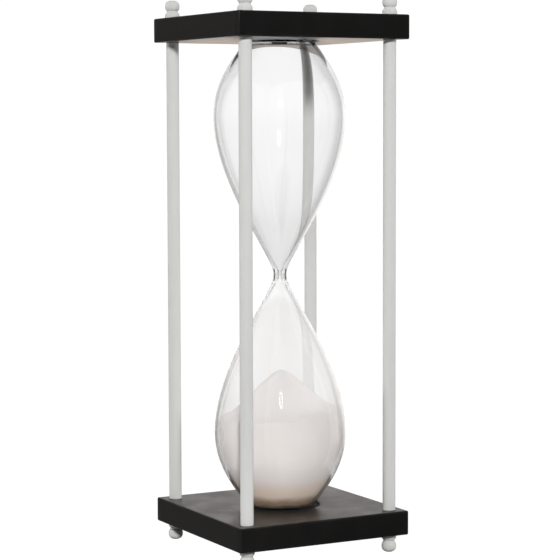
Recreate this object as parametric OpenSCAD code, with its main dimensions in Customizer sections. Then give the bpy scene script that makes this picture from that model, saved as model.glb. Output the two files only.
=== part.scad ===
// Hourglass: a blown glass between two square wooden plates, held by four round
// posts. Turned finials above and matching feet below screw onto studs that run
// through the plates into the posts.
// Origin: centre of the square under the feet, +Z up.

/* [Frame] */
// Side of each square plate
plate_w = 140; // [136:1:200]
// Thickness of each plate
plate_t = 18; // [14:1:26]
// Clear height between the two plates
gap_h = 346.5; // [340:0.5:360]
// Distance from a plate's edge to a post's axis
post_inset = 10.7; // [9:0.1:13]
// Diameter of a post
post_d = 9.5; // [8:0.5:13]
// Radius of the eased edges of a plate
plate_edge_r = 1.2; // [0.4:0.1:3]

/* [Finials and feet] */
// Height of a finial or foot
finial_h = 13.2; // [12:0.1:16]
// Largest diameter of a finial or foot
finial_d = 10.9; // [10.6:0.1:14]
// Diameter of the neck under the ball
finial_neck_d = 8.1; // [7:0.1:9]
// Diameter of the flat tip
finial_tip_d = 4; // [2:0.5:5]

/* [Studs] */
// Diameter of the studs that hold a corner together
stud_d = 4; // [3:0.5:5]
// Depth of a stud in its post
stud_in_post = 14; // [10:1:30]
// Depth of a stud in its finial or foot
stud_in_finial = 8; // [6:0.5:10]

/* [Glass] */
// Outer diameter of the waist
waist_d = 10; // [8:0.5:14]
// Largest outer diameter of a bulb
belly_d = 98.6; // [90:0.2:104]
// Height of the widest point above or below the waist
belly_z = 118; // [110:1:125]
// Thickness of the glass at the belly and the ends
glass_t = 1.9; // [1.4:0.1:2.6]
// Diameter of the passage that meters the sand
throat_d = 2.2; // [1.4:0.1:4]
// Diameter of the flat end of a bulb
bulb_end_d = 34; // [26:1:40]
// Diameter of the filling hole in the upper end
fill_hole_d = 12; // [8:1:16]

/* [Sand] */
// Depth of the sand's peak below the waist
sand_peak = 70; // [60:1:90]
// Slope of the heap in degrees
sand_slope = 38; // [28:1:42]

/* [Seats] */
// Diameter of the round recess in each plate
recess_d = 59; // [58:0.5:70]
// Depth of the recess
recess_depth = 4; // [3:0.5:6]
// Thickness of the rubber disc in the recess
seat_t = 3; // [2:0.5:5]

/* [Hidden] */
$fn = 64;
wide_fn = 96;    // segments of the widest circles
corner_fn = 32;  // segments of the small arcs

// Heights of the stack, from the tips of the feet to the tips of the finials
bottom_plate_z = finial_h;
gap_z = bottom_plate_z + plate_t;
top_plate_z = gap_z + gap_h;
top_z = top_plate_z + plate_t;
waist_z = gap_z + gap_h / 2;

// Corners, seen from above with the front at -Y
corner = plate_w / 2 - post_inset;
front_left = [-corner, -corner];
front_right = [corner, -corner];
back_left = [-corner, corner];
back_right = [corner, corner];

// Running clearances
stud_play = 0.05;   // radial, thread in post and finial
plate_play = 0.2;   // radial, stud in plate
seat_play = 0.2;    // axial, glass end to seat
recess_play = 0.3;  // radial, seat in recess
plug_play = 0.03;   // radial, plug in filling hole
sand_play = 0.05;   // sand to glass

// Post ends: a narrow land behind a fine turned groove
land_h = 1;
groove_w = 0.5;
groove_depth = 0.3;
chamfer = 0.3;

// Finial: base, shoulder, neck and ball
base_h = 2.2;
neck_z = 5.4;
ball_z = 8.9;
ball_power = 2.4;   // above 2 gives a fuller, squarer ball

// Outline of the glass, as radius and distance from the waist
half_glass = gap_h / 2 + recess_depth - seat_t - seat_play;
waist_r = waist_d / 2;
belly_r = belly_d / 2;
end_r = bulb_end_d / 2;
throat_r = throat_d / 2;
throat_half = 3;                // the cavities start this far from the waist
neck_half = 12;                 // the bulbs are fused to the neck this far from the waist
flare = [waist_r + 2.1, 8];     // where the waist opens into the bulb
hip = [26, half_glass - 1.65];  // where the side turns into the end
outer_waist = [[waist_r, 0], [waist_r, 4], flare - [1.2, 2.5], flare];
outer_cone = [flare, flare + [8.1, 18.5], [belly_r, belly_z - 44.6], [belly_r, belly_z]];
outer_hip = [[belly_r, belly_z], [belly_r, belly_z + 24.8], hip + [8.7, -11.7], hip];
outer_end = [hip, hip + [-0.9, 1.2], [end_r + 5, half_glass], [end_r, half_glass]];
inner_cone = [[throat_r, throat_half], [throat_r + 12.6, throat_half + 19.5],
              [belly_r - glass_t, belly_z - 44], [belly_r - glass_t, belly_z]];
inner_hip = [[belly_r - glass_t, belly_z], [belly_r - glass_t, belly_z + 24],
             hip + [6.2, -12], hip + [-1.9, -1.4]];
inner_end = [hip + [-1.9, -1.4], hip + [-2.8, -0.25],
             [end_r + 3, half_glass - glass_t], [end_r, half_glass - glass_t]];
plug_depth = 3.4;
plug_taper = 0.2;

function bezier(p, t) = pow(1 - t, 3) * p[0] + 3 * t * pow(1 - t, 2) * p[1]
    + 3 * t * t * (1 - t) * p[2] + t * t * t * p[3];
function curve(p, steps) = [for (i = [0 : steps - 1]) bezier(p, i / steps)];

// Outline of one bulb from the waist to the middle of its flat end
function bulb_points(cone, hip_curve, end_curve) =
    concat(curve(cone, 18), curve(hip_curve, 10), curve(end_curve, 5),
           [end_curve[3], [0, end_curve[3].y]]);
// The same points in reverse, mirrored about the level y = middle
function mirrored(points, middle = 0) =
    [for (i = [len(points) - 1 : -1 : 0]) [points[i].x, 2 * middle - points[i].y]];
outer_points = concat(curve(outer_waist, 5), bulb_points(outer_cone, outer_hip, outer_end));
inner_points = bulb_points(inner_cone, inner_hip, inner_end);

// A square with true arcs at its corners
module rounded_rect(w, h, r) {
  square([w - 2 * r, h], center = true);
  square([w, h - 2 * r], center = true);
  for (x = [-1, 1], y = [-1, 1])
    translate([x * (w / 2 - r), y * (h / 2 - r)]) circle(r = r, $fn = corner_fn);
}

// A square board centred on its own middle, eased along every edge
module eased_board() {
  intersection() {
    linear_extrude(plate_t, center = true) rounded_rect(plate_w, plate_w, plate_edge_r);
    rotate([90, 0, 0]) linear_extrude(plate_w, center = true)
      rounded_rect(plate_w, plate_t, plate_edge_r);
    rotate([90, 0, 90]) linear_extrude(plate_w, center = true)
      rounded_rect(plate_w, plate_t, plate_edge_r);
  }
}

// A plate with its recess facing up
module plate() {
  color([0.09, 0.09, 0.09]) difference() {
    eased_board();
    for (p = [front_left, front_right, back_left, back_right])
      translate([p.x, p.y, 0])
        cylinder(h = plate_t + 2, d = stud_d + 2 * plate_play, center = true);
    translate([0, 0, plate_t / 2 - recess_depth])
      cylinder(h = recess_depth + 1, d = recess_d, $fn = wide_fn);
  }
}

module bottom_plate() {
  translate([0, 0, bottom_plate_z + plate_t / 2]) plate();
}

module top_plate() {
  translate([0, 0, top_plate_z + plate_t / 2]) mirror([0, 0, 1]) plate();
}

// A round post, drilled at both ends for the studs
module post(place) {
  post_r = post_d / 2;
  bore_r = stud_d / 2 + stud_play;
  bore_depth = stud_in_post + 1;
  end_points = [[0, bore_depth], [bore_r, bore_depth], [bore_r, 0], [post_r - chamfer, 0],
                [post_r, chamfer], [post_r, land_h],
                [post_r - groove_depth, land_h + groove_w / 2], [post_r, land_h + groove_w]];
  color([0.84, 0.84, 0.82]) translate([place.x, place.y, gap_z])
    rotate_extrude() polygon(concat(end_points, mirrored(end_points, gap_h / 2)));
}

// Radius of the ball at a height above or below its centre
function ball_radius(dz) = finial_d / 2
    * pow(1 - pow(abs(dz) / (finial_h - ball_z + 0.3), ball_power), 1 / ball_power);

// Half outline of a finial standing on its base
module finial_outline() {
  ball_low = neck_z + 0.7 - ball_z;
  ball_high = finial_h - ball_z;
  ball_steps = 14;
  ball_points = [for (i = [0 : ball_steps - 1])
    let (dz = ball_low + (ball_high - ball_low) * sin(90 * i / ball_steps))
      [ball_radius(dz), ball_z + dz]];
  shoulder = [[finial_d / 2, base_h], [finial_d / 2, base_h + 1.6],
              [finial_neck_d / 2, neck_z - 1.4], [finial_neck_d / 2, neck_z]];
  difference() {
    polygon(concat([[0, 0], [finial_d / 2 - chamfer, 0], [finial_d / 2, chamfer]],
      curve(shoulder, 6), [[finial_neck_d / 2, neck_z]], ball_points,
      [[finial_tip_d / 2, finial_h], [0, finial_h]]));
    translate([0, -1]) square([stud_d / 2 + stud_play, stud_in_finial + 1.5]);
  }
}

module finial(place) {
  color([0.84, 0.84, 0.82]) translate([place.x, place.y, top_z])
    rotate_extrude() finial_outline();
}

module foot(place) {
  color([0.84, 0.84, 0.82]) translate([place.x, place.y, bottom_plate_z])
    mirror([0, 0, 1]) rotate_extrude() finial_outline();
}

// A double-ended stud with its finial end at z = 0
module stud() {
  length = stud_in_finial + plate_t + stud_in_post;
  color([0.6, 0.6, 0.62]) rotate_extrude()
    polygon([[0, 0], [stud_d / 2 - chamfer, 0], [stud_d / 2, chamfer],
             [stud_d / 2, length - chamfer], [stud_d / 2 - chamfer, length], [0, length]]);
}

module lower_stud(place) {
  translate([place.x, place.y, bottom_plate_z - stud_in_finial]) stud();
}

module upper_stud(place) {
  translate([place.x, place.y, top_z + stud_in_finial]) mirror([0, 0, 1]) stud();
}

// A soft disc that fills the floor of a recess
module seat() {
  seat_r = recess_d / 2 - recess_play;
  color([0.06, 0.06, 0.06]) rotate_extrude()
    polygon([[0, 0], [seat_r, 0], [seat_r, seat_t - chamfer],
             [seat_r - chamfer, seat_t], [0, seat_t]]);
}

module bottom_seat() {
  translate([0, 0, gap_z - recess_depth]) seat();
}

module top_seat() {
  translate([0, 0, top_plate_z + recess_depth]) mirror([0, 0, 1]) seat();
}

// The glass wall between two distances from the waist, as a half section
module wall_outline(low, high) {
  intersection() {
    difference() {
      polygon(concat(mirrored(outer_points), outer_points));
      polygon(concat(mirrored(inner_points), inner_points));
    }
    translate([0, low]) square([belly_r + 1, high - low]);
  }
}

// The thick waist, with the fine throat through it
module neck() {
  color([0.86, 0.9, 0.9, 0.35]) translate([0, 0, waist_z])
    rotate_extrude($fn = wide_fn) wall_outline(-neck_half, neck_half);
}

// A bulb standing on its weld to the neck, with a hole in its flat end or none
module bulb(hole_d = 0) {
  color([0.86, 0.9, 0.9, 0.35]) rotate_extrude($fn = wide_fn) difference() {
    wall_outline(neck_half, half_glass + 1);
    if (hole_d > 0)
      translate([0, half_glass - 2 * glass_t]) square([hole_d / 2, 3 * glass_t]);
  }
}

module upper_bulb() {
  translate([0, 0, waist_z]) bulb(fill_hole_d);
}

module lower_bulb() {
  translate([0, 0, waist_z]) mirror([0, 0, 1]) bulb();
}

module fill_plug() {
  plug_r = fill_hole_d / 2 - plug_play;
  color([0.2, 0.17, 0.14]) translate([0, 0, waist_z + half_glass - plug_depth])
    rotate_extrude()
      polygon([[0, 0], [plug_r - 2 * plug_taper, 0], [plug_r - plug_taper, plug_taper],
               [plug_r, plug_depth - glass_t], [plug_r, plug_depth], [0, plug_depth]]);
}

// Heap in the lower bulb: a cone with a rounded peak
module sand() {
  crown_r = 6;
  crown_x = crown_r * sin(sand_slope);
  crown_rise = crown_r * (1 / cos(sand_slope) - 1);
  peak_y = sand_peak - crown_rise;
  wide = belly_r + 1;
  color([0.86, 0.8, 0.76]) translate([0, 0, waist_z]) mirror([0, 0, 1])
    rotate_extrude($fn = wide_fn) intersection() {
      polygon(concat([[0, throat_half]],
        [for (p = inner_points) [max(0, p.x - sand_play), p.y - sand_play]]));
      union() {
        difference() {
          polygon([[0, peak_y], [wide, peak_y + wide * tan(sand_slope)],
                   [wide, half_glass], [0, half_glass]]);
          square([crown_x, peak_y + crown_x * tan(sand_slope)]);
        }
        intersection() {
          translate([0, sand_peak + crown_r]) circle(r = crown_r);
          square([crown_x, half_glass]);
        }
      }
    }
}

bottom_plate();
top_plate();
post(front_left);  // post_front_left
post(front_right);  // post_front_right
post(back_left);  // post_back_left
post(back_right);  // post_back_right
foot(front_left);  // foot_front_left
foot(front_right);  // foot_front_right
foot(back_left);  // foot_back_left
foot(back_right);  // foot_back_right
finial(front_left);  // finial_front_left
finial(front_right);  // finial_front_right
finial(back_left);  // finial_back_left
finial(back_right);  // finial_back_right
lower_stud(front_left);  // lower_stud_front_left
lower_stud(front_right);  // lower_stud_front_right
lower_stud(back_left);  // lower_stud_back_left
lower_stud(back_right);  // lower_stud_back_right
upper_stud(front_left);  // upper_stud_front_left
upper_stud(front_right);  // upper_stud_front_right
upper_stud(back_left);  // upper_stud_back_left
upper_stud(back_right);  // upper_stud_back_right
bottom_seat();
top_seat();
lower_bulb();
neck();
upper_bulb();
fill_plug();
sand();
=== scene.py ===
import math

import bmesh
import bpy
from mathutils import Matrix, Vector, noise


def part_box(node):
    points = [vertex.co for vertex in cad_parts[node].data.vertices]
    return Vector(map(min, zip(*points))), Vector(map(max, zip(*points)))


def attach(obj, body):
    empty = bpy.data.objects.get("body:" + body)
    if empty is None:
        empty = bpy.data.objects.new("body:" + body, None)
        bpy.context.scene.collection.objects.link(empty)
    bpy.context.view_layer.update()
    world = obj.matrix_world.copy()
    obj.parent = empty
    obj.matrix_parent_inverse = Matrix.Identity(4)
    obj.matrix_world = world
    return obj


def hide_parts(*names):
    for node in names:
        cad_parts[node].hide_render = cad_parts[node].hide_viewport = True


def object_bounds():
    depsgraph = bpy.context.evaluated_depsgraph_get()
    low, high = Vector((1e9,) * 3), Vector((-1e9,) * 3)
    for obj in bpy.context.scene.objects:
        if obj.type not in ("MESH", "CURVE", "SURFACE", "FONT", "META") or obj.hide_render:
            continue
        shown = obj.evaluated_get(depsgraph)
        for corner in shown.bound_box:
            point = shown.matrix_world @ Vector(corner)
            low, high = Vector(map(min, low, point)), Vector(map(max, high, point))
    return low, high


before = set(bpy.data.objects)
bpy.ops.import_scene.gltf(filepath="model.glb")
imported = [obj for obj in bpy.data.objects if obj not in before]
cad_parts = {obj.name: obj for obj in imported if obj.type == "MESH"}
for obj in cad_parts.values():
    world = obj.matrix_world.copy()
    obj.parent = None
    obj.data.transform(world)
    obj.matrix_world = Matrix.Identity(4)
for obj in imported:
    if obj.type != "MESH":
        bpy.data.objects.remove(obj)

# The looks of a tall hourglass: painted boards and turned wood around a blown
# glass with a heap of pale sand. Places and main sizes come from the CAD frame;
# small radii, the curves of the glass and the slope of the heap are set here.

cad_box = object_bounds()
scene = bpy.context.scene
MM = 0.001

# ---------------------------------------------------------------- sizes from the frame

board_low, board_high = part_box("bottom_plate")
top_board_low, top_board_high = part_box("top_plate")
BOARD_HALF = board_high.x
BOARD_W = 2 * BOARD_HALF
BOARD_T = board_high.z - board_low.z
GAP_LOW = board_high.z       # the gap is the clear height between the boards
GAP_HIGH = top_board_low.z
WAIST_Z = (GAP_LOW + GAP_HIGH) / 2
BOARD_EDGE_R = 1.2 * MM
BOARD_SHARP = 50             # degrees; a board's faces are smooth across anything flatter

post_low, post_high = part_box("post_front_right")
POST_R = (post_high.x - post_low.x) / 2
CORNER = (post_high.x + post_low.x) / 2
CORNERS = {"front_left": (-1, -1), "front_right": (1, -1), "back_left": (-1, 1), "back_right": (1, 1)}

foot_low, foot_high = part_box("foot_front_right")
FINIAL_H = foot_high.z - foot_low.z
FINIAL_R = (foot_high.x - foot_low.x) / 2

seat_low, seat_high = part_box("bottom_seat")
SEAT_R = seat_high.x
RECESS_R = SEAT_R + 0.3 * MM
RECESS_DEPTH = GAP_LOW - seat_low.z

stud_low, stud_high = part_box("lower_stud_front_right")
STUD_R = (stud_high.x - stud_low.x) / 2
HOLE_CLEARANCE = 0.2 * MM    # round a stud in a board
BORE_CLEARANCE = 0.05 * MM   # round a stud in a post, foot or finial

plug_low, plug_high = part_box("fill_plug")
PLUG_R = plug_high.x
HOLE_R = PLUG_R + 0.03 * MM

bulb_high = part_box("upper_bulb")[1]
BELLY_R = bulb_high.x
GLASS_HALF = bulb_high.z - WAIST_Z
GLASS_T = 1.9 * MM
SAND_TOP_DEPTH = WAIST_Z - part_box("sand")[1].z
SAND_GAP = 0.1 * MM
ROUND_STEPS = 192            # faces round the glass and the sand

# ---------------------------------------------------------------- the photo's view

CAMERA_AZIMUTH = math.radians(-28.36)
CAMERA_PITCH = math.radians(4.53)
CAMERA_ROLL = math.radians(-0.15)
CAMERA_DISTANCE = 10.731 * BOARD_W
CAMERA_RISE = 0.821 * BOARD_W
CAMERA_LENS = 129.69
CAMERA_SENSOR = 36
VIEW_END = 100               # metres, past the far edge of the floor

AHEAD = Vector((-math.sin(CAMERA_AZIMUTH), math.cos(CAMERA_AZIMUTH), 0))
RIGHT = Vector((math.cos(CAMERA_AZIMUTH), math.sin(CAMERA_AZIMUTH), 0))


# ---------------------------------------------------------------- outlines

def bezier(points, t):
    """A point on the cubic curve with these four control points."""
    weights = ((1 - t) ** 3, 3 * t * (1 - t) ** 2, 3 * t * t * (1 - t), t ** 3)
    return tuple(sum(w * p[i] for w, p in zip(weights, points)) for i in (0, 1))


def curve(points, steps):
    """Points along the curve, without its last one."""
    return [bezier(points, i / steps) for i in range(steps)]


def filleted(outline, steps=4):
    """Rounds each corner of an outline whose points are (radius, height, fillet)."""
    rounded = []
    for i, (r, z, fillet) in enumerate(outline):
        if not fillet or i in (0, len(outline) - 1):
            rounded.append((r, z))
            continue
        here = Vector((r, z))
        before = (Vector(outline[i - 1][:2]) - here).normalized()
        after = (Vector(outline[i + 1][:2]) - here).normalized()
        half = before.angle(after) / 2
        back = fillet / math.tan(half)
        start, end = here + before * back, here + after * back
        centre = here + (before + after).normalized() * (fillet / math.sin(half))
        for k in range(steps + 1):
            spoke = start.lerp(end, k / steps) - centre
            rounded.append(tuple(centre + spoke.normalized() * fillet))
    return rounded


def flipped(outline, level):
    """The same outline upside down about a level, still from its first point to its last."""
    return [(r, 2 * level - z) for r, z in reversed(outline)]


# ---------------------------------------------------------------- meshes

def mesh_object(name, verts, faces, sharp=35):
    """An object whose faces look outwards and are smooth across edges flatter than sharp degrees."""
    mesh = bpy.data.meshes.new(name)
    mesh.from_pydata(verts, [], faces)
    work = bmesh.new()
    work.from_mesh(mesh)
    bmesh.ops.recalc_face_normals(work, faces=work.faces)
    work.to_mesh(mesh)
    work.free()
    mesh.shade_smooth()
    mesh.set_sharp_from_angle(angle=math.radians(sharp))
    obj = bpy.data.objects.new(name, mesh)
    scene.collection.objects.link(obj)
    return obj


def skin(rings):
    """Faces between neighbouring rings of vertex numbers; a ring of one number is a pole."""
    faces = []
    for low, high in zip(rings, rings[1:]):
        steps = max(len(low), len(high))
        for i in range(steps):
            j = (i + 1) % steps
            corners = [low[i % len(low)], low[j % len(low)], high[j % len(high)], high[i % len(high)]]
            corners = list(dict.fromkeys(corners))
            if len(corners) > 2:
                faces.append(corners)
    return faces


def lathe(name, outline, place=(0, 0), steps=64, sharp=35):
    """Turns an outline of (radius, height) points about an upright axis at place."""
    verts, rings = [], []
    for r, z in outline:
        start = len(verts)
        if r < 1e-7:
            verts.append((place[0], place[1], z))
        else:
            for i in range(steps):
                turn = 2 * math.pi * i / steps
                verts.append((place[0] + r * math.cos(turn), place[1] + r * math.sin(turn), z))
        rings.append(range(start, len(verts)))
    return mesh_object(name, verts, skin(rings), sharp)


def square_loop(half, radius, side_steps, corner_steps):
    """Points round a square with round corners, anticlockwise."""
    points = []
    for quarter in range(4):
        turn = Matrix.Rotation(quarter * math.pi / 2, 2)
        for i in range(corner_steps + 1):
            a = (i / corner_steps) * math.pi / 2
            centre = Vector((half - radius, half - radius))
            points.append(turn @ (centre + radius * Vector((math.cos(a), math.sin(a)))))
        for i in range(1, side_steps):
            x = (half - radius) * (1 - 2 * i / side_steps)
            points.append(turn @ Vector((x, half)))
    return points


def board(name, face_z, up):
    """A square board, its recess in the face at face_z, which looks up (1) or down (-1)."""
    side_steps, corner_steps, fillet_steps = 24, 4, 5
    outer = square_loop(BOARD_HALF, BOARD_EDGE_R, side_steps, corner_steps)
    rim_r = 0.5 * MM
    margin = 3 * MM
    verts, rings = [], []

    def ring(points, depth):
        start = len(verts)
        verts.extend((p.x, p.y, face_z - up * depth) for p in points)
        rings.append(range(start, len(verts)))

    def circle(radius):
        return [p.normalized() * radius for p in outer]

    def pole(depth):
        verts.append((0, 0, face_z - up * depth))
        rings.append([len(verts) - 1])

    def square(inset, corner_r):
        return square_loop(BOARD_HALF - inset, corner_r, side_steps, corner_steps)

    pole(RECESS_DEPTH)
    ring(circle(RECESS_R * 0.5), RECESS_DEPTH)
    ring(circle(RECESS_R), RECESS_DEPTH)
    for i in range(fillet_steps + 1):
        a = math.pi / 2 * i / fillet_steps
        ring(circle(RECESS_R + rim_r * (1 - math.cos(a))), rim_r * (1 - math.sin(a)))
    inner, outer_edge = circle(RECESS_R + margin), square(margin, BOARD_EDGE_R)
    for share in (0, 0.35, 0.7, 1):
        ring([c.lerp(s, share) for c, s in zip(inner, outer_edge)], 0)
    for side in (0, 1):
        for i in range(fillet_steps + 1):
            a = math.pi / 2 * (i / fillet_steps if side == 0 else 1 - i / fillet_steps)
            inset = BOARD_EDGE_R * (1 - math.sin(a))
            rise = BOARD_EDGE_R * (1 - math.cos(a))
            depth = rise if side == 0 else BOARD_T - rise
            ring(square(inset, max(BOARD_EDGE_R - inset, 0.15 * MM)), depth)
    ring(outer_edge, BOARD_T)
    ring([p * 0.5 for p in outer_edge], BOARD_T)
    pole(BOARD_T)
    body = mesh_object(name, verts, skin(rings), BOARD_SHARP)
    drill(body, face_z - up * BOARD_T / 2)
    return body


def drill(body, middle_z):
    """Cuts the four stud holes through a board."""
    hole_r = STUD_R + HOLE_CLEARANCE
    reach = 0.6 * BOARD_T
    for sx, sy in CORNERS.values():
        tool = lathe("drill_bit", [(0, middle_z - reach), (hole_r, middle_z - reach),
                                   (hole_r, middle_z + reach), (0, middle_z + reach)],
                     (sx * CORNER, sy * CORNER), 32)
        cut = body.modifiers.new("drill", "BOOLEAN")
        cut.operation = "DIFFERENCE"
        cut.solver = "EXACT"
        cut.object = tool
        apply_modifiers(body)
        bpy.data.objects.remove(tool)
    body.data.set_sharp_from_angle(angle=math.radians(BOARD_SHARP))


def apply_modifiers(obj):
    bpy.context.view_layer.update()
    done = bpy.data.meshes.new_from_object(obj.evaluated_get(bpy.context.evaluated_depsgraph_get()))
    obj.modifiers.clear()
    obj.data = done


# ---------------------------------------------------------------- the turned wood

def post_outline():
    """One end of a post, from its drilled bore out to the side, with a fine groove round it."""
    bore_r, bore_depth = STUD_R + BORE_CLEARANCE, 15 * MM
    land, groove, depth = 1.0 * MM, 0.5 * MM, 0.3 * MM
    return filleted([
        (0, bore_depth, 0), (bore_r, bore_depth, 0), (bore_r, 0, 0.15 * MM),
        (POST_R, 0, 0.25 * MM), (POST_R, land, 0.1 * MM),
        (POST_R - depth, land + groove / 2, 0.08 * MM), (POST_R, land + groove, 0.1 * MM),
        (POST_R, land + groove + 8 * MM, 0)])


def post(name, place):
    """A round post between the boards, both ends alike."""
    end = [(r, GAP_LOW + z) for r, z in post_outline()]
    middle = [(POST_R, GAP_LOW + (GAP_HIGH - GAP_LOW) * i / 12) for i in range(1, 12)]
    return lathe(name, end + middle + flipped(end, WAIST_Z), place, 48)


def finial_outline():
    """A finial standing on its base: drilled base, shoulder, neck and ball."""
    base_h, neck_z, ball_z, power = 2.2 * MM, 5.4 * MM, 8.9 * MM, 2.4
    neck_r, tip_r = 4.05 * MM, 2.0 * MM
    bore_r, bore_depth = STUD_R + BORE_CLEARANCE, 9.5 * MM
    ball_half = FINIAL_H - ball_z + 0.3 * MM
    ball_low = neck_z + 0.7 * MM - ball_z
    ball_high = FINIAL_H - ball_z

    def ball_r(dz):
        return FINIAL_R * (1 - (abs(dz) / ball_half) ** power) ** (1 / power)

    base = filleted([(0, bore_depth, 0), (bore_r, bore_depth, 0), (bore_r, 0, 0.1 * MM),
                     (FINIAL_R, 0, 0.3 * MM), (FINIAL_R, base_h, 0)])
    shoulder = curve([(FINIAL_R, base_h), (FINIAL_R, base_h + 1.6 * MM),
                      (neck_r, neck_z - 1.4 * MM), (neck_r, neck_z)], 14)[1:]
    steps = 28
    ball = [(neck_r, neck_z)]
    for i in range(steps + 1):
        dz = ball_low + (ball_high - ball_low) * math.sin(math.pi / 2 * i / steps)
        ball.append((max(ball_r(dz), tip_r), ball_z + dz))
    return base + shoulder + ball + [(0, FINIAL_H)]


def thread(name, place, low, high):
    """A rod with a helical thread that fades out at its flat ends."""
    pitch, depth, steps, per_turn = 0.7 * MM, 0.4 * MM, 24, 6
    count = int((high - low) / pitch * per_turn)
    verts, rings = [(place[0], place[1], low)], [[0]]
    for k in range(count + 1):
        z = low + (high - low) * k / count
        fade = min(1.0, (z - low) / pitch, (high - z) / pitch)
        start = len(verts)
        for i in range(steps):
            turn = i / steps
            phase = (z / pitch - turn) % 1.0
            crest = 1 - abs(2 * phase - 1)
            r = STUD_R - depth * (1 - crest * fade)
            a = 2 * math.pi * turn
            verts.append((place[0] + r * math.cos(a), place[1] + r * math.sin(a), z))
        rings.append(range(start, len(verts)))
    verts.append((place[0], place[1], high))
    rings.append([len(verts) - 1])
    return mesh_object(name, verts, skin(rings), sharp=30)


# ---------------------------------------------------------------- glass and sand

HEAP_SLOPE = 44          # degrees, on the flanks
HEAP_SLOPE_LEAN = 2      # more to the low side, less to the other
HEAP_FOOT_R = 37 * MM    # where the flanks run out
HEAP_FOOT_LEAN = 2 * MM
HEAP_FOOT_SLOPE = 0.2    # rise over run
CROWN_R = 6 * MM
HEAP_PEAK = SAND_TOP_DEPTH + 2 * MM   # a rounder crown than the CAD's, so a little lower
LOW_SIDE = (-RIGHT.x, -RIGHT.y)       # the camera's left
PEAK_XY = (0.7 * MM * RIGHT.x, 0.7 * MM * RIGHT.y)
WAIST_R = 5.0 * MM
THROAT_R = 1.1 * MM
THROAT_HALF = 3 * MM
END_R = 17 * MM
BELLY_Z = 118 * MM
FLARE = (WAIST_R + 2.1 * MM, 8 * MM)      # where the waist opens into the cone
HIP = (26 * MM, GLASS_HALF - 1.65 * MM)   # where the bulb turns into its flat end


def near(point, dr, dz):
    """A point a few millimetres away from another."""
    return (point[0] + dr * MM, point[1] + dz * MM)


def outer_wall():
    """Outside of one bulb, from the waist to the middle of its flat end."""
    belly = (BELLY_R, BELLY_Z)
    end = (END_R, GLASS_HALF)
    return (curve([(WAIST_R, 0), (WAIST_R, 4 * MM), near(FLARE, -1.2, -2.5), FLARE], 10)
            + curve([FLARE, near(FLARE, 8.1, 18.5), near(belly, 0, -44.6), belly], 48)
            + curve([belly, near(belly, 0, 24.8), near(HIP, 8.7, -11.7), HIP], 40)
            + curve([HIP, near(HIP, -0.9, 1.2), near(end, 5, 0), end], 12) + [end])


def inner_wall():
    """Inside of one bulb, from the throat to the middle of its flat end."""
    throat = (THROAT_R, THROAT_HALF)
    belly = (BELLY_R - GLASS_T, BELLY_Z)
    hip = near(HIP, -1.9, -1.4)
    end = (END_R, GLASS_HALF - GLASS_T)
    return (curve([throat, near(throat, 12.6, 19.5), near(belly, 0, -44), belly], 48)
            + curve([belly, near(belly, 0, 24), near(HIP, 6.2, -12), hip], 40)
            + curve([hip, near(HIP, -2.8, -0.25), near(end, 3, 0), end], 12) + [end])


WALL = inner_wall()


def glass(clear, dusty):
    """Both bulbs as one wall, open at the filling hole; the lower one is dusty inside."""
    outside, inside = outer_wall(), WALL
    lower_out = [(0, -GLASS_HALF), *flipped(outside, 0)]
    upper_in = list(reversed(inside))
    hole = filleted([(END_R, GLASS_HALF, 0), (HOLE_R, GLASS_HALF, 0.3 * MM),
                     (HOLE_R, GLASS_HALF - GLASS_T, 0.3 * MM), (END_R, GLASS_HALF - GLASS_T, 0)])
    lower_in = [(r, -z) for r, z in inside]
    loop = lower_out + outside[1:-1] + hole + upper_in[1:] + lower_in
    loop.append((0, -(GLASS_HALF - GLASS_T)))
    body = lathe("blown_glass", [(r, WAIST_Z + z) for r, z in loop], steps=ROUND_STEPS, sharp=40)
    body.data.materials.append(clear)
    body.data.materials.append(dusty)
    first_inside = (len(loop) - len(lower_in) - 1) * ROUND_STEPS
    for face in body.data.polygons[first_inside:]:
        face.material_index = 1
    return body


def wall_radius(depth):
    """Inner radius of the lower bulb at a depth below the waist, less the gap to the sand."""
    for (r0, z0), (r1, z1) in zip(WALL, WALL[1:]):
        if z0 <= depth <= z1:
            return r0 + (r1 - r0) * (depth - z0) / (z1 - z0) - SAND_GAP
    return WALL[-1][0] - SAND_GAP


def soft_rise(x, width):
    """Zero below 0 and x above it, with a smooth bend between."""
    return (x + math.hypot(x, width)) / 2


def heap_depth(x, y):
    """Depth of the heap's surface below the waist: a round crown and steep flanks that run out
    flat at the glass. It is a little steeper and deeper on one side."""
    dx, dy = x - PEAK_XY[0], y - PEAK_XY[1]
    r = math.hypot(dx, dy)
    lean = (dx * LOW_SIDE[0] + dy * LOW_SIDE[1]) / (r + 1e-9)
    flank = math.tan(math.radians(HEAP_SLOPE + HEAP_SLOPE_LEAN * lean))
    foot_r = HEAP_FOOT_R + HEAP_FOOT_LEAN * lean
    run = math.hypot(r, CROWN_R) - CROWN_R
    foot = soft_rise(r - foot_r, 5 * MM)
    ripple = 0.3 * MM * noise.noise(Vector((x, y, 3)) / (9 * MM)) * min(1, r / (8 * MM))
    return HEAP_PEAK + flank * run - (flank - HEAP_FOOT_SLOPE) * foot + ripple


def heap_edge(dx, dy):
    """How far out the heap's surface meets the glass in a direction."""
    low, high = 0.0, BELLY_R
    for _ in range(30):
        r = (low + high) / 2
        if wall_radius(heap_depth(r * dx, r * dy)) > r:
            low = r
        else:
            high = r
    return low


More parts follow.
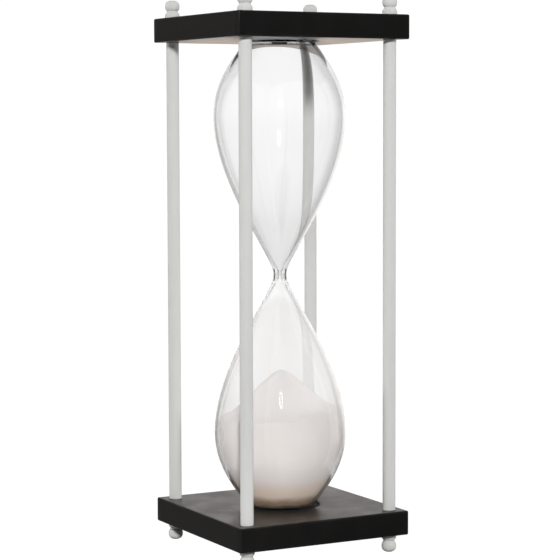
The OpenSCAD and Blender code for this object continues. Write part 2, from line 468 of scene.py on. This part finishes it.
def sand():
    """The settled heap: a cone on top, the shape of the bulb below."""
    top_rings, side_rings = 72, 80
    turns = [2 * math.pi * i / ROUND_STEPS for i in range(ROUND_STEPS)]
    directions = [(math.cos(turn), math.sin(turn)) for turn in turns]
    contact = [heap_edge(dx, dy) for dx, dy in directions]
    verts, rings = [(0, 0, WAIST_Z - heap_depth(0, 0))], [[0]]
    for k in range(1, top_rings + 1):
        start = len(verts)
        for (dx, dy), edge in zip(directions, contact):
            r = edge * k / top_rings
            x, y = r * dx, r * dy
            grain = 0.12 * MM * noise.noise(Vector((x, y, 0)) / (0.9 * MM))
            fade = min(1.0, (top_rings - k) / 4)
            verts.append((x, y, WAIST_Z - heap_depth(x, y) + grain * fade))
        rings.append(range(start, len(verts)))
    floor_depth = GLASS_HALF - GLASS_T - SAND_GAP
    for k in range(1, side_rings + 1):
        start = len(verts)
        share = k / side_rings
        for (dx, dy), edge in zip(directions, contact):
            brim = heap_depth(edge * dx, edge * dy)
            depth = brim + (floor_depth - brim) * (1 - (1 - share) ** 1.6)
            r = wall_radius(depth)
            verts.append((r * dx, r * dy, WAIST_Z - depth))
        rings.append(range(start, len(verts)))
    verts.append((0, 0, WAIST_Z - floor_depth))
    rings.append([len(verts) - 1])
    return mesh_object("sand_heap", verts, skin(rings), sharp=60)


# ---------------------------------------------------------------- materials

def material(name):
    """A new material, its node tree and its main shader."""
    mat = bpy.data.materials.new(name)
    mat.use_nodes = True
    return mat, mat.node_tree, mat.node_tree.nodes["Principled BSDF"]


def node(tree, kind, **settings):
    made = tree.nodes.new("ShaderNode" + kind)
    for key, value in settings.items():
        setattr(made, key, value)
    return made


def feed(tree, target, value):
    """Sets a socket, or links it when the value is another socket."""
    if isinstance(value, bpy.types.NodeSocket):
        tree.links.new(value, target)
    else:
        target.default_value = value


def math_node(tree, operation, a, b=0.0):
    made = node(tree, "Math", operation=operation)
    feed(tree, made.inputs[0], a)
    feed(tree, made.inputs[1], b)
    return made.outputs[0]


def product(tree, *values):
    """All the values multiplied together."""
    result = values[0]
    for value in values[1:]:
        result = math_node(tree, "MULTIPLY", result, value)
    return result


def object_place(tree):
    """Place on the object, in metres."""
    return node(tree, "TexCoord").outputs["Object"]


def object_parts(tree):
    """The three parts, X, Y and Z, of the place on the object."""
    parts = node(tree, "SeparateXYZ")
    feed(tree, parts.inputs[0], object_place(tree))
    return parts.outputs


def coords(tree, stretch=(1, 1, 1)):
    """Place on the object in millimetres, stretched along its axes."""
    scale = node(tree, "Mapping")
    feed(tree, scale.inputs["Vector"], object_place(tree))
    scale.inputs["Scale"].default_value = [s / MM for s in stretch]
    return scale.outputs[0]


def noise_node(tree, place, size, detail=3.0, rough=0.5):
    """Noise with features of about this size in millimetres."""
    made = node(tree, "TexNoise")
    feed(tree, made.inputs["Vector"], place)
    made.inputs["Scale"].default_value = 1 / size
    made.inputs["Detail"].default_value = detail
    made.inputs["Roughness"].default_value = rough
    return made.outputs["Fac"]


def spread(tree, value, low, high, to_low=0.0, to_high=1.0):
    """A smooth step from to_low, where the value is low, to to_high, where it is high."""
    made = node(tree, "MapRange", interpolation_type="SMOOTHSTEP")
    feed(tree, made.inputs["Value"], value)
    made.inputs["From Min"].default_value = low
    made.inputs["From Max"].default_value = high
    made.inputs["To Min"].default_value = to_low
    made.inputs["To Max"].default_value = to_high
    return made.outputs["Result"]


def blend_colour(tree, factor, a, b):
    made = node(tree, "Mix", data_type="RGBA")
    feed(tree, made.inputs[0], factor)
    feed(tree, made.inputs[6], a if isinstance(a, bpy.types.NodeSocket) else (*a, 1))
    feed(tree, made.inputs[7], b if isinstance(b, bpy.types.NodeSocket) else (*b, 1))
    return made.outputs[2]


def mixed(tree, factor, a, b):
    """One shader or the other, by factor."""
    made = node(tree, "MixShader")
    feed(tree, made.inputs[0], factor)
    feed(tree, made.inputs[1], a)
    feed(tree, made.inputs[2], b)
    return made.outputs[0]


def pick(tree, factor, a, b):
    """One number or the other, by factor."""
    made = node(tree, "Mix", data_type="FLOAT")
    for socket, value in zip((made.inputs[0], made.inputs[2], made.inputs[3]), (factor, a, b)):
        feed(tree, socket, value)
    return made.outputs[0]


def bump(tree, height, depth, strength=1.0):
    """Surface relief; depth is the height of the relief in metres."""
    made = node(tree, "Bump")
    made.inputs["Strength"].default_value = strength
    made.inputs["Distance"].default_value = depth
    feed(tree, made.inputs["Height"], height)
    return made.outputs["Normal"]


def board_edges(tree):
    """1 on the edges and corners of a board, 0 a few millimetres in."""
    reach = []
    for part, half in zip(object_parts(tree), (BOARD_HALF, BOARD_HALF, BOARD_T / 2)):
        distance = math_node(tree, "ABSOLUTE", part)
        reach.append(math_node(tree, "SUBTRACT", distance, half))
    highest = math_node(tree, "MAXIMUM", reach[0], reach[1])
    lowest = math_node(tree, "MINIMUM", reach[0], reach[1])
    second = math_node(tree, "MAXIMUM", lowest, math_node(tree, "MINIMUM", highest, reach[2]))
    return spread(tree, second, -1.6 * MM, -0.3 * MM)


def black_paint():
    """Satin black paint over a planed board: faint grain, soft mottling, rubbed edges."""
    mat, tree, shader = material("satin_black_paint")
    grain = noise_node(tree, coords(tree, (0.04, 1, 1)), 0.8, 4, 0.6)
    cloud = noise_node(tree, coords(tree), 22, 4, 0.55)
    dust = noise_node(tree, coords(tree), 0.5, 2, 0.7)
    tone = blend_colour(tree, cloud, (0.0065, 0.0062, 0.0062), (0.0115, 0.0108, 0.0104))
    specks = spread(tree, dust, 0.72, 0.8, 0, 0.35)
    tone = blend_colour(tree, specks, tone, (0.05, 0.047, 0.044))
    rubbed = product(tree, board_edges(tree), spread(tree, cloud, 0.42, 0.62, 0.15, 0.8))
    tone = blend_colour(tree, rubbed, tone, (0.030, 0.028, 0.026))
    feed(tree, shader.inputs["Base Color"], tone)
    feed(tree, shader.inputs["Roughness"], spread(tree, cloud, 0.3, 0.7, 0.282, 0.37))
    feed(tree, shader.inputs["Normal"], bump(tree, grain, 0.02 * MM, 0.5))
    return mat


def white_paint():
    """Satin off-white paint on turned wood: fine turning rings, and painted shade in the grooves and creases,
    where ambient occlusion darkens the colour.
    """
    mat, tree, shader = material("satin_white_paint")
    cloud = noise_node(tree, coords(tree, (1, 1, 0.35)), 7, 4, 0.6)
    rings = noise_node(tree, coords(tree, (0.08, 0.08, 1)), 0.35, 3, 0.6)
    tone = blend_colour(tree, cloud, (0.665, 0.665, 0.648), (0.720, 0.720, 0.704))
    # painted shade: ambient occlusion darkens the colour in grooves, creases and close joints
    crease_shade = node(tree, "AmbientOcclusion", samples=8)
    crease_shade.inputs["Distance"].default_value = 1.2 * MM
    shade = spread(tree, crease_shade.outputs["AO"], 0.35, 0.85, 0.55, 0.0)
    tone = blend_colour(tree, shade, tone, (0.36, 0.35, 0.32))
    feed(tree, shader.inputs["Base Color"], tone)
    feed(tree, shader.inputs["Roughness"], spread(tree, cloud, 0.3, 0.7, 0.42, 0.56))
    feed(tree, shader.inputs["Normal"], bump(tree, rings, 0.02 * MM, 0.5))
    return mat


def rubber(name, dark, light):
    """Matt rubber with a fine grit, between two tones."""
    mat, tree, shader = material(name)
    grit = noise_node(tree, coords(tree), 0.6, 4, 0.7)
    feed(tree, shader.inputs["Base Color"], blend_colour(tree, grit, dark, light))
    feed(tree, shader.inputs["Roughness"], spread(tree, grit, 0.3, 0.7, 0.7, 0.9))
    feed(tree, shader.inputs["Normal"], bump(tree, grit, 0.05 * MM, 0.6))
    return mat


def stud_steel():
    """Zinc-plated threaded rod."""
    mat, tree, shader = material("plated_steel")
    cloud = noise_node(tree, coords(tree), 1.5, 4, 0.6)
    feed(tree, shader.inputs["Base Color"], blend_colour(tree, cloud, (0.42, 0.42, 0.44), (0.62, 0.62, 0.64)))
    shader.inputs["Metallic"].default_value = 1.0
    feed(tree, shader.inputs["Roughness"], spread(tree, cloud, 0.3, 0.7, 0.28, 0.5))
    feed(tree, shader.inputs["Normal"], bump(tree, cloud, 0.02 * MM, 0.4))
    return mat


def height_above(tree, level):
    """Height above a level of the object's own frame, in metres."""
    return math_node(tree, "SUBTRACT", object_parts(tree)["Z"], level)


def pale_sand():
    """Fine pinkish sand: grains of slightly different colour, a few dark; painted light lower down and
    painted shade, brown to near black, at the foot.
    """
    mat, tree, shader = material("fine_pale_sand")
    place = coords(tree)
    grains = node(tree, "TexVoronoi")
    feed(tree, grains.inputs["Vector"], place)
    grains.inputs["Scale"].default_value = 1 / 0.32
    cell = node(tree, "SeparateColor")
    feed(tree, cell.inputs[0], grains.outputs["Color"])
    cloud = noise_node(tree, place, 12, 4, 0.6)
    tone = blend_colour(tree, cell.outputs[0], (0.83, 0.78, 0.755), (0.93, 0.895, 0.875))
    tone = blend_colour(tree, spread(tree, cell.outputs[1], 0.93, 0.97, 0, 0.45), tone, (0.45, 0.36, 0.30))
    tone = blend_colour(tree, spread(tree, cloud, 0.35, 0.7, 0, 0.2), tone, (0.85, 0.78, 0.74))
    uneven = product(tree, math_node(tree, "SUBTRACT", cloud, 0.5), 5 * MM)
    height = math_node(tree, "ADD", height_above(tree, WAIST_Z - GLASS_HALF), uneven)
    # painted light and shade by height above the glass's end: lighter from 72 mm down to 30 mm and peach
    # below 28 mm, for the warm, shaded lower zone; brown below 14 mm and near black below 6 mm, painted shade
    # where the bulb curves under over the black board
    for high, low, colour in ((72, 30, (0.985, 0.92, 0.89)), (28, 14, (0.98, 0.80, 0.67)),
                              (14, 6, (0.33, 0.225, 0.145)), (6, 3, (0.03, 0.022, 0.015))):
        tone = blend_colour(tree, spread(tree, height, low * MM, high * MM, 1, 0), tone, colour)
    feed(tree, shader.inputs["Base Color"], tone)
    feed(tree, shader.inputs["Roughness"], spread(tree, cell.outputs[2], 0.0, 1.0, 0.65, 0.95))
    feed(tree, shader.inputs["Normal"], bump(tree, grains.outputs["Distance"], 0.12 * MM, 0.5))
    return mat


def blown_glass(name, dust=None):
    """Blown clear glass, under a film of sand dust where dust says how much of it is covered.
    Shadow rays and diffuse rays, which light the sand, go straight through."""
    mat, tree, shader = material(name)
    tree.nodes.remove(shader)
    wave = noise_node(tree, coords(tree, (1, 1, 0.4)), 34, 1.5, 0.4)
    clear = node(tree, "BsdfGlass")
    clear.inputs["IOR"].default_value = 1.5
    clear.inputs["Color"].default_value = (0.992, 0.992, 0.992, 1)
    clear.inputs["Roughness"].default_value = 0.0
    feed(tree, clear.inputs["Normal"], bump(tree, wave, 0.15 * MM, 0.2))
    through = node(tree, "BsdfTransparent")
    through.inputs["Color"].default_value = (0.985, 0.985, 0.985, 1)
    path = node(tree, "LightPath")
    either = math_node(tree, "MAXIMUM", path.outputs["Is Shadow Ray"], path.outputs["Is Diffuse Ray"])
    surface = clear.outputs[0]
    if dust:
        front = node(tree, "BsdfDiffuse")
        back = node(tree, "BsdfTranslucent")
        for half in (front, back):
            half.inputs["Color"].default_value = (0.96, 0.95, 0.945, 1)
        film = mixed(tree, 0.8, front.outputs[0], back.outputs[0])
        surface = mixed(tree, dust(tree), surface, film)
    surface = mixed(tree, either, surface, through.outputs[0])
    feed(tree, tree.nodes["Material Output"].inputs["Surface"], surface)
    return mat


def settled_dust(tree):
    """How much of the inside is covered: most beside the sand, a little less near the waist and
    least at the foot. It is under a quarter everywhere, which keeps the heap's outline sharp."""
    cloud = noise_node(tree, coords(tree, (1, 1, 0.6)), 22, 2, 0.5)
    height = height_above(tree, WAIST_Z - HEAP_PEAK)
    return product(tree, spread(tree, height, -10 * MM, 62 * MM, 0.240, 0.232),
                   spread(tree, height, -95 * MM, -45 * MM, 0.66, 1.0),
                   spread(tree, cloud, 0.2, 0.8, 0.9, 1.05))


# ---------------------------------------------------------------- studio

LIGHT_DISTANCE = 3.0
SOFTBOXES = (   # name, bearing, elevation, width, height, power, whether it shows as a glint
    ("key", 1.5, 20.5, 0.22, 0.46, 57, False),
    ("glint", 1.5, 20.5, 0.36, 0.6, 44, True),
    ("fill_right", 105, 5, 1.0, 0.6, 33, False),
    ("fill_left", -105, 5, 1.0, 0.6, 34, False),
)
FOOT_SPOT_POWER = 48
FOOT_SPOT_CONE = math.radians(1.9)
FOOT_SPOT_SIZE = 0.02
FOOT_SPOT_ELEVATION = 2
PLAIN_WHITE = 1.04           # the backdrop and the floor as the camera sees them
STRIP_BLACK = 0.03           # the dark strips beside the backdrop
MISTY_LIGHT = 1.36           # what lights the film of dust from behind
BACK_LIGHT = 1.36            # what falls on matt surfaces from the backdrop's side
SHEEN_AXIS = (AHEAD + 0.2 * RIGHT).normalized()
FLOOR_HALF = 30.0


def aim(obj, place, direction, roll=0.0):
    back = -direction.normalized()
    side = Vector((0, 0, 1)).cross(back).normalized()
    turn = Matrix((side, back.cross(side), back)).transposed().to_4x4()
    obj.matrix_world = Matrix.Translation(place) @ turn @ Matrix.Rotation(roll, 4, "Z")


def add_camera():
    data = bpy.data.cameras.new("camera")
    data.lens = CAMERA_LENS
    data.sensor_width = CAMERA_SENSOR
    data.clip_end = VIEW_END
    camera = bpy.data.objects.new("camera", data)
    scene.collection.objects.link(camera)
    place = -AHEAD * CAMERA_DISTANCE + Vector((0, 0, WAIST_Z + CAMERA_RISE))
    direction = AHEAD * math.cos(CAMERA_PITCH) - Vector((0, 0, math.sin(CAMERA_PITCH)))
    aim(camera, place, direction, CAMERA_ROLL)
    scene.camera = camera


def soften(data):
    """Makes a light brightest at its middle, so its glints fade out to their edges."""
    data.use_nodes = True
    tree = data.node_tree
    across = node(tree, "VectorMath", operation="SUBTRACT")
    feed(tree, across.inputs[0], node(tree, "NewGeometry").outputs["Parametric"])
    across.inputs[1].default_value = (0.5, 0.5, 0)
    flat = node(tree, "VectorMath", operation="MULTIPLY")
    feed(tree, flat.inputs[0], across.outputs[0])
    flat.inputs[1].default_value = (1, 1, 0)
    reach = node(tree, "VectorMath", operation="LENGTH")
    feed(tree, reach.inputs[0], flat.outputs[0])
    falloff = spread(tree, reach.outputs["Value"], 0.5, 0.0)
    feed(tree, tree.nodes["Emission"].inputs["Strength"], falloff)


def lamp(name, kind, power, shows):
    """A light that is seen in glass and in shiny surfaces only where it shows."""
    data = bpy.data.lights.new(name, kind)
    data.energy = power
    light = bpy.data.objects.new(name, data)
    scene.collection.objects.link(light)
    light.visible_glossy = shows
    light.visible_transmission = shows
    return light


def stand(light, bearing, elevation, target):
    """Points a light at a target from an angle to the right of the camera and above it."""
    turn, rise = math.radians(bearing), math.radians(elevation)
    level = RIGHT * math.sin(turn) - AHEAD * math.cos(turn)
    toward = level * math.cos(rise) + Vector((0, 0, math.sin(rise)))
    aim(light, target + toward * LIGHT_DISTANCE, -toward)


def add_foot_light():
    """A narrow spot from low in front that lifts the shade under the bulb."""
    light = lamp("foot_spot", "SPOT", FOOT_SPOT_POWER, False)
    light.data.spot_size = FOOT_SPOT_CONE
    light.data.spot_blend = 1.0
    light.data.shadow_soft_size = FOOT_SPOT_SIZE
    stand(light, 0, FOOT_SPOT_ELEVATION, Vector((0, 0, GAP_LOW + 10 * MM)))


def add_lights():
    """The foot spot, a small key above the camera with its glint, and a broad fill on each side."""
    add_foot_light()
    for name, bearing, elevation, width, height, power, glints in SOFTBOXES:
        light = lamp(name, "AREA", power, glints)
        light.data.shape = "ELLIPSE"
        light.data.size, light.data.size_y = width, height
        if glints:
            soften(light.data)
        stand(light, bearing, elevation, Vector((0, 0, WAIST_Z)))


def dot(tree, direction, axis):
    made = node(tree, "VectorMath", operation="DOT_PRODUCT")
    feed(tree, made.inputs[0], direction)
    made.inputs[1].default_value = axis
    return made.outputs["Value"]


def misty_ray(tree):
    """1 for a ray that the film of dust has scattered onwards, 0 for any other."""
    path = node(tree, "LightPath")
    return math_node(tree, "MINIMUM", path.outputs["Is Transmission Ray"], path.outputs["Is Diffuse Ray"])


def seen_through(tree, behind, right, up):
    """What clear glass shows: the backdrop, dimmer low down and to the sides, and a dark strip
    on each side of it, which draws the outlines of the glass."""
    backdrop = product(tree, spread(tree, up, -0.05, 0.02, 0.865, 1.06),
                       spread(tree, right, -0.42, -0.22, 0.75, 1.0),
                       spread(tree, right, 0.02, 0.12, 1.0, 0.92))
    aside = math_node(tree, "ABSOLUTE", right)
    strip = product(tree, spread(tree, aside, 0.5, 0.62), spread(tree, aside, 0.72, 0.84, 1.0, 0.0),
                    spread(tree, behind, 0.0, 0.2))
    return pick(tree, strip, backdrop, STRIP_BLACK)


def reflected(tree, direction, right, up):
    """What shiny surfaces show: the backdrop, brightest at the floor, and a dim room elsewhere."""
    glow = spread(tree, dot(tree, direction, SHEEN_AXIS), 0.72, 0.97)
    room = spread(tree, right, -0.3, 0.5, 0.12, 0.03)
    return pick(tree, glow, room, spread(tree, up, 0.0, 0.15, 1.3, 0.84))


def reflected_tint(tree, behind, up):
    """A warm white, warmest where the backdrop meets the floor."""
    near_floor = product(tree, spread(tree, up, -0.02, 0.12, 1, 0), spread(tree, behind, 0.97, 0.995))
    return blend_colour(tree, near_floor, (1, 0.97, 0.945), (1.0, 0.84, 0.73))


def surroundings(tree, direction):
    """Colour and strength of the studio in a direction: a bright white backdrop behind the object,
    a dim room before it. What is seen straight stays plain white."""
    path = node(tree, "LightPath")
    behind = dot(tree, direction, AHEAD)
    right = dot(tree, direction, RIGHT)
    up = dot(tree, direction, (0, 0, 1))
    overhead = spread(tree, up, 0.2, 0.8, 0.0, 0.22)
    fill = pick(tree, spread(tree, behind, 0.1, 0.75), overhead, BACK_LIGHT)
    strength = pick(tree, path.outputs["Is Glossy Ray"], fill, reflected(tree, direction, right, up))
    sharp = math_node(tree, "SUBTRACT", path.outputs["Is Transmission Ray"], path.outputs["Is Diffuse Ray"])
    through = seen_through(tree, behind, right, up)
    strength = pick(tree, math_node(tree, "MAXIMUM", sharp, 0.0), strength, through)
    strength = pick(tree, misty_ray(tree), strength, MISTY_LIGHT)
    strength = pick(tree, path.outputs["Is Camera Ray"], strength, PLAIN_WHITE)
    plain = math_node(tree, "MAXIMUM", path.outputs["Is Transmission Ray"], path.outputs["Is Camera Ray"])
    tinted = math_node(tree, "SUBTRACT", path.outputs["Is Glossy Ray"], plain)
    return blend_colour(tree, tinted, (1, 1, 1), reflected_tint(tree, behind, up)), strength


def add_world():
    world = bpy.data.worlds.new("studio")
    world.use_nodes = True
    scene.world = world
    tree = world.node_tree
    tree.nodes.clear()
    colour, strength = surroundings(tree, node(tree, "TexCoord").outputs["Generated"])
    shown = node(tree, "Background")
    feed(tree, shown.inputs["Color"], colour)
    feed(tree, shown.inputs["Strength"], strength)
    out = node(tree, "OutputWorld")
    feed(tree, out.inputs["Surface"], shown.outputs[0])


def floor_material():
    """A white sweep as bright as the backdrop above it; light falls on it as on grey card."""
    mat, tree, shader = material("white_sweep")
    shade = noise_node(tree, coords(tree), 400, 2, 0.5)
    grey = blend_colour(tree, shade, (0.26, 0.257, 0.254), (0.29, 0.287, 0.284))
    feed(tree, shader.inputs["Base Color"], grey)
    shader.inputs["Roughness"].default_value = 0.9
    outward = node(tree, "VectorMath", operation="SUBTRACT")
    feed(tree, outward.inputs[0], node(tree, "NewGeometry").outputs["Position"])
    outward.inputs[1].default_value = (0, 0, WAIST_Z)
    direction = node(tree, "VectorMath", operation="NORMALIZE")
    feed(tree, direction.inputs[0], outward.outputs[0])
    colour, strength = surroundings(tree, direction.outputs[0])
    glow = node(tree, "Emission")
    feed(tree, glow.inputs["Color"], colour)
    feed(tree, glow.inputs["Strength"], strength)
    path = node(tree, "LightPath")
    seen = math_node(tree, "MAXIMUM", path.outputs["Is Camera Ray"], path.outputs["Is Glossy Ray"])
    seen = math_node(tree, "MAXIMUM", seen, misty_ray(tree))
    surface = mixed(tree, seen, shader.outputs[0], glow.outputs[0])
    feed(tree, tree.nodes["Material Output"].inputs["Surface"], surface)
    return mat


def add_floor():
    signs = ((-1, -1), (1, -1), (1, 1), (-1, 1))
    corners = [(sx * FLOOR_HALF, sy * FLOOR_HALF, cad_box[0][2]) for sx, sy in signs]
    floor = mesh_object("floor", corners, [(0, 1, 2, 3)])
    floor.data.materials.append(floor_material())


# ---------------------------------------------------------------- assembly

def painted(obj, mat):
    obj.data.materials.append(mat)
    return obj


def place_piece(obj, body, slot, *nodes):
    """Makes an object ride on a body in the place of these CAD nodes, which it hides; slot is not used."""
    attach(obj, body)
    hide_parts(*nodes)


def centred(obj, centre):
    """Moves an object's own origin to a point, leaving its surface where it is."""
    obj.data.transform(Matrix.Translation(-centre))
    obj.location = centre
    return obj


def build():
    black, white, steel = black_paint(), white_paint(), stud_steel()
    seat_black = rubber("seat_rubber", (0.010, 0.010, 0.010), (0.022, 0.021, 0.020))
    plug_brown = rubber("stopper_rubber", (0.030, 0.024, 0.018), (0.055, 0.045, 0.036))

    lower = centred(board("bottom_board", GAP_LOW, 1), Vector((0, 0, GAP_LOW - BOARD_T / 2)))
    upper = centred(board("top_board", GAP_HIGH, -1), Vector((0, 0, GAP_HIGH + BOARD_T / 2)))
    place_piece(painted(lower, black), "frame", "black_paint", "bottom_plate")
    place_piece(painted(upper, black), "frame", "black_paint", "top_plate")

    finial = finial_outline()
    for corner, (sx, sy) in CORNERS.items():
        place = (sx * CORNER, sy * CORNER)
        turned = lathe("finial_turned_" + corner, [(r, top_board_high.z + z) for r, z in finial], place)
        place_piece(painted(turned, white), "frame", "white_paint", "finial_" + corner)
        turned = lathe("foot_turned_" + corner, [(r, board_low.z - z) for r, z in finial], place)
        place_piece(painted(turned, white), "frame", "white_paint", "foot_" + corner)
        turned = post("post_turned_" + corner, place)
        place_piece(painted(turned, white), "frame", "white_paint", "post_" + corner)
        for level in ("lower", "upper"):
            source = f"{level}_stud_{corner}"
            low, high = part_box(source)
            rod = thread(f"{level}_rod_{corner}", place, low.z, high.z)
            place_piece(painted(rod, steel), "frame", "stud_steel", source)

    seat_t = seat_high.z - seat_low.z
    disc = filleted([(0, 0, 0), (SEAT_R, 0, 0), (SEAT_R, seat_t, 0.4 * MM), (0, seat_t, 0)])
    lower_seat = lathe("lower_seat_disc", [(r, seat_low.z + z) for r, z in disc], steps=96)
    place_piece(painted(lower_seat, seat_black), "frame", "seat_rubber", "bottom_seat")
    top_seat_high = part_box("top_seat")[1].z
    upper_seat = lathe("upper_seat_disc", [(r, top_seat_high - z) for r, z in disc], steps=96)
    place_piece(painted(upper_seat, seat_black), "frame", "seat_rubber", "top_seat")

    clear = blown_glass("clear_blown_glass")
    dusty = blown_glass("dusty_blown_glass", settled_dust)
    place_piece(glass(clear, dusty), "glass_unit", "clear_glass", "lower_bulb", "neck", "upper_bulb")
    plug_t = plug_high.z - plug_low.z
    stopper = filleted([(0, 0, 0), (PLUG_R - 0.4 * MM, 0, 0.3 * MM), (PLUG_R, plug_t - GLASS_T, 0),
                        (PLUG_R, plug_t, 0.25 * MM), (0, plug_t, 0)])
    plug = lathe("stopper", [(r, plug_low.z + z) for r, z in stopper])
    place_piece(painted(plug, plug_brown), "glass_unit", "plug_rubber", "fill_plug")
    place_piece(painted(sand(), pale_sand()), "glass_unit", "pale_sand", "sand")


scene.view_settings.view_transform = "Standard"
add_camera()
add_lights()
add_world()
add_floor()
build()
